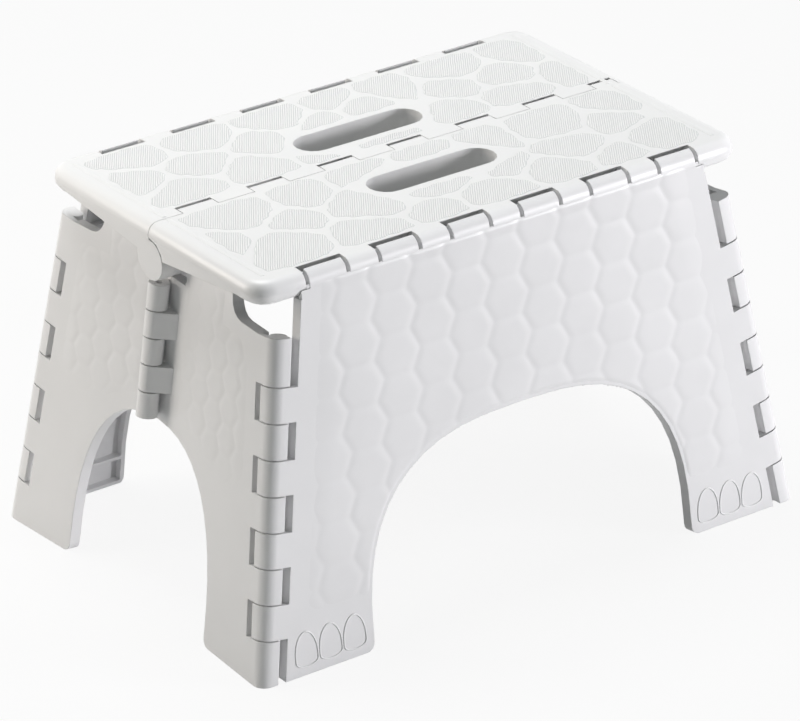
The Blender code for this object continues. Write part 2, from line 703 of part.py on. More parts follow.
def beside_corner(offset, z):
    """Place on the outer face at a distance from the corner axis and a height."""
    up = (z - END_ORIGIN.z - offset * END_ACROSS.z) / CORNER_UP.z
    return (offset, up)


def end_outline(inset):
    """Outer face of an end panel as (from the corner axis, up), drawn in by the inset."""
    near = SEAM_GAP / 2 + inset
    edge = CORNER_SETBACK + inset
    top = UNDERSIDE_Z - TREAD_CLEARANCE - inset
    dip = SEAM_AXIS_Z - LOBE_RADIUS - TREAD_CLEARANCE - inset
    sill = WINDOW_Z - inset
    half = END_ARCH_HALF + inset
    toe = half + (0 if inset else FOOT_ROUND)
    foot = inset if inset else -FLOOR_TRIM
    begin = math.asin((FOOT_ROUND / END_ARCH_HEIGHT) ** (END_ARCH_POWER / 2))
    finish = math.acos((near / half) ** (END_ARCH_POWER / 2))
    arch = superellipse(half, END_ARCH_HEIGHT + inset, END_ARCH_POWER, begin, finish, ARCH_STEPS // 2)
    points = [beside_corner(edge, foot), end_point(toe, foot)]
    if not inset:
        points += [end_point(*p) for p in arc((toe, FOOT_ROUND), FOOT_ROUND, 1.5 * math.pi, math.pi)]
    points += [end_point(*p) for p in arch]
    points += [end_point(near, dip), end_point(END_DIP_HALF + inset, dip)]
    points.append(end_point(END_DIP_HALF + END_DIP_SLOPE + inset, top))
    shoulder = WINDOW_MIDDLE - inset
    points.append(end_point(shoulder, top))
    bend = (shoulder + WINDOW_ROUND, sill + WINDOW_ROUND)
    points += [end_point(*p) for p in arc(bend, WINDOW_ROUND, math.pi, 1.5 * math.pi)]
    points.append(beside_corner(edge, sill))
    return points


def end_hinge_spans():
    """Knuckles of the end hinge from the foot up, as distances along its axis."""
    foot = (END_HINGE_FOOT - END_AXIS.z) / END_LINE_UP.z
    step = (END_HINGE_TOP - END_HINGE_FOOT) / END_LINE_UP.z / END_KNUCKLES
    return [(foot + i * step, foot + (i + 1) * step) for i in range(END_KNUCKLES)]


def end_hinge_frame(hand):
    """Frame on the end hinge's axis in an end panel's own frame."""
    turned = END_FRAME_FRONT.inverted()
    foot = turned @ END_AXIS
    up = turned.to_3x3() @ END_LINE_UP
    tilt = math.atan2(up.x, up.z)
    return Matrix.Translation((-hand * foot.x, foot.y, foot.z)) @ Matrix.Rotation(-hand * tilt, 4, "Y")


def end_panel(name, hand, first_knuckle, play):
    """End panel in its own frame; hand is -1 where it reaches from its corner to -X, 1 to +X."""
    outline = [(hand * a, b) for a, b in end_outline(0)]
    hollow = [(hand * a, b) for a, b in end_outline(RIM)]
    panel = ribbed_panel(name, outline, hollow)
    knuckles = []
    section = [(hand * a, b) for a, b in corner_knuckle()]
    stations = corner_stations()[0::2]
    for low, high in stations:
        low_end = along_corner(low if low else -FLOOR_TRIM) + STATION_GAP / 2
        high_end = along_corner(high) - (0 if (low, high) == stations[-1] else STATION_GAP / 2)
        knuckles.append(prism(section, low_end, high_end, UP))
    shape(panel, "UNION", "corner_knuckles", knuckles)
    hinge = end_hinge_frame(hand)
    arms = []
    barrel = [(-hand * a, b) for a, b in end_knuckle()]
    for low, high in end_hinge_spans()[first_knuckle::2]:
        arms.append(prism(barrel, low + STATION_GAP / 2, high - STATION_GAP / 2, hinge))
    shape(panel, "UNION", "end_knuckles", arms)
    corner_axis = Matrix.Translation((0, PANEL_DEPTH, 0))
    bores = [
        bore(CORNER_PIN_RADIUS, PIN_GAP, *CORNER_PIN_SPAN, corner_axis),
        bore(END_PIN_RADIUS, play, END_PIN_SPAN[0] - OVERRUN, END_PIN_SPAN[1] + OVERRUN, hinge),
    ]
    shape(panel, "DIFFERENCE", "pin_bores", bores)
    trim_at_floor(panel)
    return panel


# Pin lengths, from the knuckles they run through
SEAM_PIN_HALF = TREAD_LENGTH / 2 - EDGE_RADIUS
EDGE_PIN_HALF = finger_centres()[-1] + FINGER_WIDTH / 2 + EDGE_PIN_OVERHANG
CORNER_PIN_SPAN = (along_corner(CORNER_PIN_INSET), along_corner(WINDOW_Z - CORNER_PIN_INSET))
END_PIN_SPAN = (end_hinge_spans()[0][0] + END_PIN_INSET, end_hinge_spans()[-1][1] - END_PIN_INSET)
WINDOW_MIDDLE = -CORNER_FOOT.y - SIDE_SPLAY * WINDOW_Z - PANEL_DEPTH - WINDOW_WIDTH


clear_scene()
PARTS = new_collection("folding_step_stool")
CUTTERS = new_collection("cutters")
floor_outline = box_outline(-FLOOR_REACH, FLOOR_REACH, -FLOOR_REACH, FLOOR_REACH)
FLOOR = helper("floor_trim", [prism(floor_outline, -FLOOR_REACH, 0, UP)], None)

stool = axis_empty("step_stool", (0, 0, 0), None)
edge_front = axis_empty("axis_front_edge", (0, -EDGE_AXIS_Y, EDGE_AXIS_Z), stool)
edge_rear = axis_empty("axis_rear_edge", (0, EDGE_AXIS_Y, EDGE_AXIS_Z), stool)
seam = axis_empty("axis_tread_seam", (0, 0, SEAM_AXIS_Z), stool)

tread_front = tread_half("tread_front", has_tongues=True)
seat(tread_front, edge_front, Matrix.Translation((0, 0, STOOL_HEIGHT)))
tread_rear = tread_half("tread_rear", has_tongues=False)
seat(tread_rear, seam, Matrix.Translation((0, 0, STOOL_HEIGHT)) @ HALF_TURN)
side_front = side_panel("side_panel_front")
seat(side_front, stool, SIDE_FRAME)
side_rear = side_panel("side_panel_rear")
seat(side_rear, edge_rear, HALF_TURN @ SIDE_FRAME)

seam_pin_axis = Matrix.Translation((0, 0, -SEAM_DEPTH)) @ ALONG_X
hinge_pin("pin_tread_seam", SEAM_PIN_RADIUS, -SEAM_PIN_HALF, SEAM_PIN_HALF, seam_pin_axis, tread_front)
edge_pin_axis = Matrix.Translation((0, EDGE_RADIUS, 0)) @ ALONG_X
for label, carrier in (("front", side_front), ("rear", side_rear)):
    hinge_pin(f"pin_edge_{label}", EDGE_PIN_RADIUS, -EDGE_PIN_HALF, EDGE_PIN_HALF, edge_pin_axis, carrier)

CORNERS = (
    ("left_front", Matrix.Identity(4), END_FRAME_FRONT, -1, 1),
    ("left_rear", Matrix.Identity(4), END_FRAME_REAR, 1, 0),
    ("right_rear", HALF_TURN, END_FRAME_FRONT, -1, 1),
    ("right_front", HALF_TURN, END_FRAME_REAR, 1, 0),
)
for label, turn, frame, hand, first_knuckle in CORNERS:
    holds_pin = first_knuckle == 0
    end_play = PIN_GAP if holds_pin else END_PIVOT_PLAY
    end = end_panel(f"end_panel_{label}", hand, first_knuckle, end_play)
    placed = turn @ frame
    marker = axis_empty(f"axis_corner_{label}", placed @ Vector((0, PANEL_DEPTH, 0)), stool)
    seat(end, marker, placed)
    if holds_pin:
        side = label.split("_")[0]
        hinge_pin(f"pin_end_{side}", END_PIN_RADIUS, *END_PIN_SPAN, end_hinge_frame(hand), end)
for carrier, turn, label in ((side_front, 1, "left_front"), (side_front, -1, "right_front"),
                             (side_rear, 1, "right_rear"), (side_rear, -1, "left_rear")):
    pin_axis = side_corner(turn) @ Matrix.Translation((0, PANEL_DEPTH, 0))
    hinge_pin(f"pin_corner_{label}", CORNER_PIN_RADIUS, *CORNER_PIN_SPAN, pin_axis, carrier)
bpy.context.view_layer.update()
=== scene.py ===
"""Looks of the folding step stool: moulded shells, quilted panels, ribbed tread patches, light and camera.

Units are metres. +X runs along the tread, +Y to the back and +Z up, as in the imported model.
"""

import math
import random

import bmesh
import bpy
import numpy as np
from mathutils import Matrix, Vector


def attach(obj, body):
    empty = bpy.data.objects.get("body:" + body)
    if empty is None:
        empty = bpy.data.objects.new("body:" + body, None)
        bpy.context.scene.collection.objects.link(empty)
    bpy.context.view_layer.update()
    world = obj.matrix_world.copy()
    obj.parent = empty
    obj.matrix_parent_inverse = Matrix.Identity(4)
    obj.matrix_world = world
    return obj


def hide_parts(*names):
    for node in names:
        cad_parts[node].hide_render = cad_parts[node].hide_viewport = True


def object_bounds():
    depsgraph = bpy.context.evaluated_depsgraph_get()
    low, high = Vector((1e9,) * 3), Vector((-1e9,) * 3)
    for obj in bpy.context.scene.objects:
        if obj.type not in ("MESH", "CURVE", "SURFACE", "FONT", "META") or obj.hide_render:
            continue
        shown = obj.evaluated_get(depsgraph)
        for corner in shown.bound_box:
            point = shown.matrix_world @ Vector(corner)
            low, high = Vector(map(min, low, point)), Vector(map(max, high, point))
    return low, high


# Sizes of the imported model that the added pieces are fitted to
STOOL_HEIGHT = 0.229
TREAD_LENGTH = 0.336
TREAD_WIDTH = 0.214
EDGE_RADIUS = 0.0075
FLOOR_LENGTH = 0.3815
SIDE_SPLAY = 0.117
CORNER_SPLAY = 0.158
END_RECESS = 0.008
PANEL_DEPTH = 0.0075
FLUSH_STEP = 0.00005  # finger faces stand this far behind their panel's face
CORNER_SETBACK = 0.009
SIDE_ARCH = (0.113, 0.116, 2.8)  # half width, height and power of the arch
END_ARCH = (0.070, 0.108, 2.5)
SLOT_LENGTH = 0.086
SLOT_WIDTH = 0.024
SLOT_MIDDLE = 0.036
POCKET_BACK = 0.0103  # from the long edge to the back of a finger pocket

# Welding and smoothing
FLUSH_RANGE = (0.2, 1.2)  # depths, in flush steps, that the shells bring up to their face
WELD = 0.000004  # points nearer than this are joined
PLANE_ANGLE = math.radians(1.0)  # faces within this angle lie in one plane
SMOOTH_ANGLE = math.radians(33.0)  # panel edges flatter than this are shaded round
SHEET_SMOOTH = math.radians(50.0)
BEAD_SMOOTH = math.radians(60.0)
WIDE_PATCH = 0.005  # mean width over which a flat patch is not part of an arc

# Quilted relief on the panels
SIDE_CELLS = (0.0254, 0.0241, 0.0030)  # column width, height and zigzag of the cells
END_CELLS = (0.0161, 0.0175, 0.0026)
SIDE_TIP = (0.011, 0.1550)  # x and height of one zigzag tip on a side panel
END_CELL_MIDDLE = 0.1501  # height of the middle of one cell in the fourth column from an end's middle
QUILT_LEVEL = 0.55  # depth of the level creases against the zigzag ones
QUILT_GRID = 0.00125  # spacing of a sheet's points
SIDE_QUILT = (0.00035, 0.0050)  # height of the cells, and distance from a crease to their crown
END_QUILT = (0.00043, 0.0042)
SHEET_BASE = 0.00008  # creases stand this far over the panel's face
SHEET_SINK = 0.00025  # borders dip this far under it
SHEET_BACK = 0.0006  # the hidden back is this far under it
SHEET_SPARE = 0.01  # the grid of an end goes this far past its middle

# Borders over which the relief rises: start and width
SIDE_CORNER_FADE = (0.004, 0.024)
SIDE_ARCH_FADE = (0.0008, 0.002)
SIDE_TOP_FADE = (0.0006, 0.0012)
SIDE_FOOT_FADE = (0.029, 0.014)
END_CORNER_FADE = (0.004, 0.016)
END_HINGE_FADE = (0.016, 0.008)
END_ARCH_FADE = (0.0015, 0.012)
END_TOP_FADE = (0.0, 0.006)
END_WINDOW_FADE = (0.002, 0.008)
END_FOOT_FADE = (0.085, 0.04)
END_QUILT_TOP = 0.2085  # upper border of the relief on the ends
END_WINDOW = (0.1915, 0.062)  # foot of the corner window, and its distance from the end's middle

# Toe outlines on the feet of the side panels
TOE_CENTRES = (0.1257, 0.1420, 0.1583)
TOE_HALF = 0.0075
TOE_FOOT = 0.0050
TOE_BEND = 0.0100  # height of the widest place
TOE_TOP = 0.0254
TOE_POWERS = (0.9, 0.6)  # roundness above and below the widest place
TOE_STEPS = 48
TOE_BEAD = 0.0005
BEAD_SIDES = 8

# Ribbed patches of the tread
TOP_DROP = 0.0003  # the shells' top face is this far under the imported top, for the ribs
PATCH_HALVES = (("front", -1, 11, 0.003), ("rear", 1, 16, 0.0115))  # name, side, seed, start from the seam
PATCH_COLUMNS = 7
PATCH_ROWS = 3
PATCH_STAGGER = 0.25  # sideways shift of a row, in columns
PATCH_BAND = 0.0026  # half of the smooth band between patches
PATCH_SPREAD = 0.0018  # a patch grows or shrinks by up to this much
PATCH_JITTER = 0.0085  # its middle moves by up to this much in x and in y
PATCH_WOBBLE = 0.0007  # height of the waves along its edge
PATCH_FAST_SHARE = 0.6  # height of the fast waves along an edge against the slow ones
PATCH_STEP = 0.003  # spacing of the points along a patch's edge
PATCH_CORNER_CUT = (0.18, 2)  # share of an edge that is cut at a corner, and how often
PATCH_EDGE_CUT = (0.25, 1)
PATCH_LEAST = 0.00016  # area under which a patch is left out
PATCH_SLOT_MARGIN = 0.006
PATCH_END_MARGIN = 0.017
PATCH_POCKET_MARGIN = 0.003
PATCH_SUNK = 0.0004  # the foot of patches and ridges is this far under the top face
PATCH_SKIRT = 0.0008  # width of the slope round a patch
RIB_PITCH = 0.00125
RIB_HEIGHT = 0.00028
RIB_DIRECTION = Vector((0.558, 0.830))
RIB_CUT_REACH = 1e-7  # points this near to a cut are on it

# Waves that shift a patch's edge, in x and then in y: turn per metre and share of the phase, slow and fast
PATCH_WAVES = (
    ((310, 520), 1, (970, 0), -1),
    ((480, -350), 2, (0, 910), 1),
)

# Low ridge inside the tread's ends
BORDER_LINE = 0.0125  # from the tread's end
BORDER_WIDTH = 0.0032
BORDER_HEIGHT = 0.00028
BORDER_LIP = 0.00002  # step at the ridge's foot
BORDER_SEAM_GAP = 0.002
BORDER_EDGE_GAP = 0.012  # from the ridge's tip to the tread's long edge

# Plastic and steel
PANEL_COLOURS = ((0.83, 0.83, 0.835), (0.80, 0.80, 0.805))  # light and dark
TREAD_COLOURS = ((0.87, 0.87, 0.87), (0.845, 0.845, 0.85))
# patch plastic: its own colour on the rib crests, and a darker valley colour that is painted shade
PATCH_COLOURS_WITH_VALLEY_SHADE = ((0.88, 0.88, 0.88), (0.68, 0.69, 0.69))
STEEL_COLOURS = ((0.68, 0.69, 0.70), (0.48, 0.49, 0.50))
CLOUD_SCALE = 16.0
CLOUD_STOPS = (0.32, 0.68)
SHEEN_SCALE = 70.0
SHEEN_SPREAD = 0.06  # the roughness varies by this much either way
GRAIN_SCALE = 1400.0
GRAIN_DEPTH = 0.0001
SOFT_EDGE = 0.0007  # radius that edges show in the shading
# where the painted shade of the rib valleys turns into the crest colour, as shares of the rib height
RIB_VALLEY_SHADE_STOPS = (0.15, 0.85)
STEEL_STRETCH = (3.0, 60.0, 60.0)  # the draw marks are long in x
STEEL_MARK_SCALE = 40.0
STEEL_STOPS = (0.3, 0.7)
STEEL_ROUGHNESS = (0.24, 0.42)

# Camera, fitted to the photograph
CAMERA_PLACE = (-1.56195, -2.21578, 1.41205)
CAMERA_TURN = (64.0862, 0.9164, -35.6448)  # degrees about x, y and z
CAMERA_LENS = 233.536
CAMERA_SENSOR = 36.0
CAMERA_REACH = 50.0

# Light: name, place, size, watts and colour of each soft lamp
SOFT_LIGHTS = (
    ("key_right", (2.0, -2.2, 0.5), 0.9, 72.0, (0.99, 0.97, 1.0)),
    ("fill_left", (-1.0, 0.65, 0.5), 0.5, 6.0, (1.0, 0.93, 0.86)),
    ("top", (0.0, 0.5, 1.85), 1.0, 26.0, (1.0, 1.0, 1.0)),
)
LIGHT_AIM = (0.0, 0.0, 0.12)
AMBIENT = 0.07  # strength of the even light from all round
AMBIENT_COLOUR = (0.80, 1.0, 0.94, 1.0)
FLOOR_REACH = 8.0
FLOOR_COLOUR = (0.7, 0.7, 0.7, 1.0)
FLOOR_GLOW = 0.9  # share of plain white in the floor as it is seen

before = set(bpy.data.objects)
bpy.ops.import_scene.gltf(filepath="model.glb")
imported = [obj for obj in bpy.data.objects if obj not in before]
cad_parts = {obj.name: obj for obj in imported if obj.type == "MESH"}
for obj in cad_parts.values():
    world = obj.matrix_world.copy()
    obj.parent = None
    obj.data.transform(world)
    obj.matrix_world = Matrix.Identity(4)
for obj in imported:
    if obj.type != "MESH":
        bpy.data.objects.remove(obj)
cad_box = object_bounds()


# Materials

def node_material(name):
    made = bpy.data.materials.new(name)
    made.use_nodes = True
    tree = made.node_tree
    return made, tree, tree.nodes["Principled BSDF"]


def add_node(tree, kind, **settings):
    node = tree.nodes.new(kind)
    for key, value in settings.items():
        setattr(node, key, value)
    return node


def noise(tree, coordinates, scale, detail):
    node = add_node(tree, "ShaderNodeTexNoise")
    node.inputs["Scale"].default_value = scale
    node.inputs["Detail"].default_value = detail
    tree.links.new(coordinates, node.inputs["Vector"])
    return node.outputs["Fac"]


def ramp(tree, factor, stops, colours):
    """Colour that goes from dark to light between two stops of a factor."""
    light, dark = colours
    node = add_node(tree, "ShaderNodeValToRGB")
    for element, position, colour in zip(node.color_ramp.elements, stops, (dark, light)):
        element.position = position
        element.color = (*colour, 1.0)
    tree.links.new(factor, node.inputs["Fac"])
    return node.outputs["Color"]


def mapped(tree, factor, low, high):
    node = add_node(tree, "ShaderNodeMapRange")
    node.inputs["To Min"].default_value = low
    node.inputs["To Max"].default_value = high
    tree.links.new(factor, node.inputs["Value"])
    return node.outputs["Result"]


def add_bump(tree, shader, height, strength):
    node = add_node(tree, "ShaderNodeBump")
    node.inputs["Strength"].default_value = strength
    node.inputs["Distance"].default_value = GRAIN_DEPTH
    tree.links.new(height, node.inputs["Height"])
    tree.links.new(node.outputs["Normal"], shader.inputs["Normal"])
    return node


def satin_surface(name, roughness, grain):
    """Plastic with an uneven sheen and fine moulded grain, still without its colour."""
    made, tree, shader = node_material(name)
    coordinates = add_node(tree, "ShaderNodeTexCoord").outputs["Object"]
    sheen = mapped(tree, noise(tree, coordinates, SHEEN_SCALE, detail=2.0),
                   roughness - SHEEN_SPREAD, roughness + SHEEN_SPREAD)
    tree.links.new(sheen, shader.inputs["Roughness"])
    bump = add_bump(tree, shader, noise(tree, coordinates, GRAIN_SCALE, detail=2.0), grain)
    return made, tree, shader, coordinates, bump


def moulded_plastic(name, colours, roughness, grain):
    """Satin polypropylene with faint flow clouds and softened edges."""
    made, tree, shader, coordinates, bump = satin_surface(name, roughness, grain)
    clouds = noise(tree, coordinates, CLOUD_SCALE, detail=3.0)
    tree.links.new(ramp(tree, clouds, CLOUD_STOPS, colours), shader.inputs["Base Color"])
    edges = add_node(tree, "ShaderNodeBevel", samples=6)
    edges.inputs["Radius"].default_value = SOFT_EDGE
    tree.links.new(edges.outputs["Normal"], bump.inputs["Normal"])
    return made


def ribbed_plastic(name, colours, roughness, grain):
    """Tread plastic whose valleys between the ribs are painted darker, as painted shade."""
    made, tree, shader, coordinates, _ = satin_surface(name, roughness, grain)
    split = add_node(tree, "ShaderNodeSeparateXYZ")
    tree.links.new(coordinates, split.inputs["Vector"])
    # painted shade: the colour gets darker the deeper a point lies under the rib crests
    depth = add_node(tree, "ShaderNodeMapRange")
    depth.inputs["From Min"].default_value = STOOL_HEIGHT - RIB_HEIGHT
    depth.inputs["From Max"].default_value = STOOL_HEIGHT
    tree.links.new(split.outputs["Z"], depth.inputs["Value"])
    tree.links.new(ramp(tree, depth.outputs["Result"], RIB_VALLEY_SHADE_STOPS, colours), shader.inputs["Base Color"])
    return made


def drawn_steel(name, colours, grain):
    """Wire with fine draw marks."""
    made, tree, shader = node_material(name)
    shader.inputs["Metallic"].default_value = 1.0
    coordinates = add_node(tree, "ShaderNodeTexCoord").outputs["Object"]
    stretch = add_node(tree, "ShaderNodeMapping")
    stretch.inputs["Scale"].default_value = STEEL_STRETCH
    tree.links.new(coordinates, stretch.inputs["Vector"])
    marks = noise(tree, stretch.outputs["Vector"], STEEL_MARK_SCALE, detail=4.0)
    tree.links.new(ramp(tree, marks, STEEL_STOPS, colours), shader.inputs["Base Color"])
    tree.links.new(mapped(tree, marks, *STEEL_ROUGHNESS), shader.inputs["Roughness"])
    add_bump(tree, shader, marks, grain)
    return made


PANEL_PLASTIC = moulded_plastic("panel_plastic", PANEL_COLOURS, roughness=0.36, grain=0.10)
TREAD_PLASTIC = moulded_plastic("tread_plastic", TREAD_COLOURS, roughness=0.34, grain=0.08)
PATCH_PLASTIC = ribbed_plastic("patch_plastic", PATCH_COLOURS_WITH_VALLEY_SHADE, roughness=0.5, grain=0.05)
PIN_STEEL = drawn_steel("pin_steel", STEEL_COLOURS, grain=0.15)


# Meshes

def new_piece(name, mesh, material, body):
    made = bpy.data.objects.new(name, mesh)
    mesh.name = name
    bpy.context.scene.collection.objects.link(made)
    mesh.materials.clear()
    mesh.materials.append(material)
    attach(made, body)
    return made


def finished_mesh(work, name):
    """Mesh of the work, which is freed."""
    mesh = bpy.data.meshes.new(name)
    work.to_mesh(mesh)
    work.free()
    return mesh


def smooth_mesh(mesh, angle):
    mesh.shade_smooth()
    mesh.set_sharp_from_angle(angle=angle)


def plane_groups(work):
    """Number of the plane that each face lies in, and whether that plane's patch is wide."""
    group_of = {}
    wide = []
    for start in work.faces:
        if start.index in group_of:
            continue
        group_of[start.index] = len(wide)
        group = [start]
        for face in group:
            for edge in face.edges:
                for other in edge.link_faces:
                    if other.index not in group_of and other.normal.angle(start.normal, 0.0) < PLANE_ANGLE:
                        group_of[other.index] = len(wide)
                        group.append(other)
        corners = [vertex.co for face in group for vertex in face.verts]
        span = (Vector(map(max, zip(*corners))) - Vector(map(min, zip(*corners)))).length
        wide.append(sum(face.calc_area() for face in group) > WIDE_PATCH * span)
    return group_of, wide


def smooth_fans(vertex):
    """Groups of the faces round a vertex that meet without a sharp edge."""
    pending = set(vertex.link_faces)
    while pending:
        fan = [pending.pop()]
        for face in fan:
            for edge in face.edges:
                if vertex in edge.verts and edge.calc_face_angle(math.pi) < SMOOTH_ANGLE:
                    joined = pending.intersection(edge.link_faces)
                    pending -= joined
                    fan.extend(joined)
        yield fan


def corner_normals(work):
    """Normals that round the moulded arcs: wide flat faces keep their own, the facets of an arc share one."""
    group_of, wide = plane_groups(work)
    normals = {}
    for vertex in work.verts:
        for fan in smooth_fans(vertex):
            planes = {group_of[face.index]: face.normal for face in fan}
            chosen = [normal for number, normal in planes.items() if wide[number]] or planes.values()
            shared = sum(chosen, Vector()).normalized()
            for face in fan:
                normals[face.index, vertex.index] = shared
    return normals


def panel_shell(node, material, body, point, normal):
    """Welded and smoothed copy of a packed panel, shown in its place; point and normal give its face."""
    least, most = FLUSH_RANGE
    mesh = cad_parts[node].data.copy()
    work = bmesh.new()
    work.from_mesh(mesh)
    for vertex in work.verts:
        depth = normal.dot(vertex.co - point)
        if -most * FLUSH_STEP < depth < -least * FLUSH_STEP:
            vertex.co -= depth * normal
            vertex.co = [max(low, min(high, c)) for c, low, high in zip(vertex.co, *cad_box)]
    bmesh.ops.remove_doubles(work, verts=work.verts, dist=WELD)
    bmesh.ops.dissolve_degenerate(work, edges=work.edges, dist=WELD)
    for vertex in work.verts:
        if vertex.co.z > STOOL_HEIGHT - TOP_DROP / 2:
            vertex.co.z -= TOP_DROP
    work.normal_update()
    work.faces.index_update()
    work.verts.index_update()
    normals = corner_normals(work)
    work.to_mesh(mesh)
    work.free()
    smooth_mesh(mesh, SMOOTH_ANGLE)
    mesh.normals_split_custom_set([
        normals[polygon.index, mesh.loops[loop].vertex_index]
        for polygon in mesh.polygons for loop in polygon.loop_indices
    ])
    made = new_piece(f"{node}_shell", mesh, material, body)
    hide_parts(node)


def sheet_mesh(name, points, back, keep):
    """Closed thin sheet over the kept cells of a grid of points."""
    rows, columns = keep.shape
    index = np.arange((rows + 1) * (columns + 1)).reshape(rows + 1, columns + 1)
    corners = np.stack([index[:-1, :-1], index[1:, :-1], index[1:, 1:], index[:-1, 1:]], axis=-1)
    quads = corners[keep]
    used = np.unique(quads)
    lookup = np.full(index.size, -1)
    lookup[used] = np.arange(used.size)
    top = lookup[quads]
    low = top[:, ::-1] + used.size
    sides = np.concatenate([top[:, [i, (i + 1) % 4]] for i in range(4)])
    ordered = np.sort(sides, axis=1)
    _, first, counts = np.unique(ordered, axis=0, return_index=True, return_counts=True)
    rim = sides[first[counts == 1]]
    walls = np.column_stack([rim[:, 1], rim[:, 0], rim[:, 0] + used.size, rim[:, 1] + used.size])
    vertices = np.concatenate([points.reshape(-1, 3)[used], back.reshape(-1, 3)[used]])
    faces = np.concatenate([top, low, walls])
    mesh = bpy.data.meshes.new(name)
    mesh.from_pydata(vertices.tolist(), [], faces.tolist())
    work = bmesh.new()
    work.from_mesh(mesh)
    bmesh.ops.recalc_face_normals(work, faces=work.faces)
    work.to_mesh(mesh)
    work.free()
    return mesh


# Planes of the panels, from the sizes above
HALF_TURN = Matrix.Rotation(math.pi, 4, "Z")
MIRROR_Y = Matrix.Diagonal((1, -1, 1, 1))
SIDE_PLACES = (("front", Matrix.Identity(4)), ("rear", HALF_TURN))
END_PLACES = (
    ("left_front", Matrix.Identity(4)), ("left_rear", MIRROR_Y),
    ("right_rear", HALF_TURN), ("right_front", HALF_TURN @ MIRROR_Y),
)
LEAN = math.atan(SIDE_SPLAY)
SIDE_NORMAL = Vector((0, -math.cos(LEAN), math.sin(LEAN)))
SIDE_UP = Vector((0, math.sin(LEAN), math.cos(LEAN)))
EDGE_AXIS = Vector((0, EDGE_RADIUS - TREAD_WIDTH / 2, STOOL_HEIGHT - EDGE_RADIUS))
SIDE_ORIGIN = EDGE_AXIS + EDGE_RADIUS * SIDE_NORMAL
FLOOR_HALF_WIDTH = -SIDE_ORIGIN.y + SIDE_ORIGIN.z * SIDE_SPLAY
CORNER_FOOT = Vector((-FLOOR_LENGTH / 2, -FLOOR_HALF_WIDTH, 0))
CORNER_UP = Vector((CORNER_SPLAY, SIDE_SPLAY, 1)).normalized()
END_MIDDLE = Vector((END_RECESS - FLOOR_LENGTH / 2, 0, 0))
END_NORMAL = CORNER_UP.cross(CORNER_FOOT - END_MIDDLE).normalized()
END_NORMAL *= math.copysign(1, -END_NORMAL.x)
END_ACROSS = CORNER_UP.cross(END_NORMAL).normalized()
END_ACROSS *= math.copysign(1, END_ACROSS.y)


def turned(vector, turn):
    return turn.to_3x3() @ vector


# Quilt pattern

def pillow(value):
    """Steep at a crease and level on a crown."""
    t = np.clip(value, 0.0, 1.0)
    return t * (2 - t)


def fade(distance, border):
    """Smooth rise from 0 to 1 over a border, given as its start and its width."""
    start, width = border
    t = np.clip((distance - start) / width, 0.0, 1.0)
    return t * t * (3 - 2 * t)


def zigzag(rows, line):
    """-1 to 1 along a quilt line; neighbouring lines are half a row apart."""
    shifted = rows - 0.5 * (line % 2)
    return 4 * np.abs(shifted - np.floor(shifted) - 0.5) - 1


def quilt(x, z, cells, softness):
    """0 at the creases to 1 on the crown of the cells."""
    width, height, swing = cells
    nearest = np.full(x.shape, np.inf)
    column = np.floor(x / width)
    slope = math.cos(math.atan(4 * swing / height))
    own = np.copy(column)
    for step in (-1, 0, 1, 2):
        line = column + step
        gap = x - (line * width + swing * zigzag(z / height, line))
        nearest = np.minimum(nearest, np.abs(gap) * slope)
        own = np.where(gap >= 0, line, own)
    rows = z / height - 0.5 * (own % 2)
    level = np.abs(rows - np.round(rows)) * height
    return pillow(nearest / softness) * (1 - QUILT_LEVEL * (1 - pillow(level / softness)))


def outside_arch(arch, across, height):
    """Roughly how far a point lies outside an arch."""
    half, top, power = arch
    reach = (np.abs(across) / half) ** power + (np.clip(height, 0, None) / top) ** power
    return (reach ** (1 / power) - 1) * half


def side_edge(z):
    """Distance from the middle to the corner edge of a side panel at a height."""
    return FLOOR_LENGTH / 2 - CORNER_SPLAY * z - CORNER_SETBACK - PANEL_DEPTH


def side_mask(a, face):
    """1 where a side panel is quilted, 0 outside."""
    z = face[..., 2]
    mask = fade(side_edge(z) - np.abs(a), SIDE_CORNER_FADE)
    mask *= fade(outside_arch(SIDE_ARCH, a, z), SIDE_ARCH_FADE)
    mask *= fade(SIDE_ORIGIN.z - z, SIDE_TOP_FADE)
    return mask * fade(z, SIDE_FOOT_FADE)


def end_mask(a, face):
    """1 where an end panel is quilted, 0 outside."""
    window_foot, window_side = END_WINDOW
    y = np.abs(face[..., 1])
    z = face[..., 2]
    mask = fade(a - CORNER_SETBACK, END_CORNER_FADE)
    mask *= fade(y, END_HINGE_FADE)
    mask *= fade(outside_arch(END_ARCH, y, z), END_ARCH_FADE)
    mask *= fade(END_QUILT_TOP - z, END_TOP_FADE)
    mask *= fade(np.maximum(window_foot - z, window_side - y), END_WINDOW_FADE)
    return mask * fade(z, END_FOOT_FADE)


def side_pattern(face):
    """Height of the relief over a side panel's face."""
    height, softness = SIDE_QUILT
    x = np.sign(-face[..., 1]) * face[..., 0] - SIDE_TIP[0] + SIDE_CELLS[2]
    return height * quilt(x, face[..., 2] - SIDE_TIP[1], SIDE_CELLS, softness)


def end_pattern(face):
    """Height of the relief over an end panel's face, alike on both sides of the middle."""
    height, softness = END_QUILT
    return height * quilt(np.abs(face[..., 1]), face[..., 2] - END_CELL_MIDDLE, END_CELLS, softness)


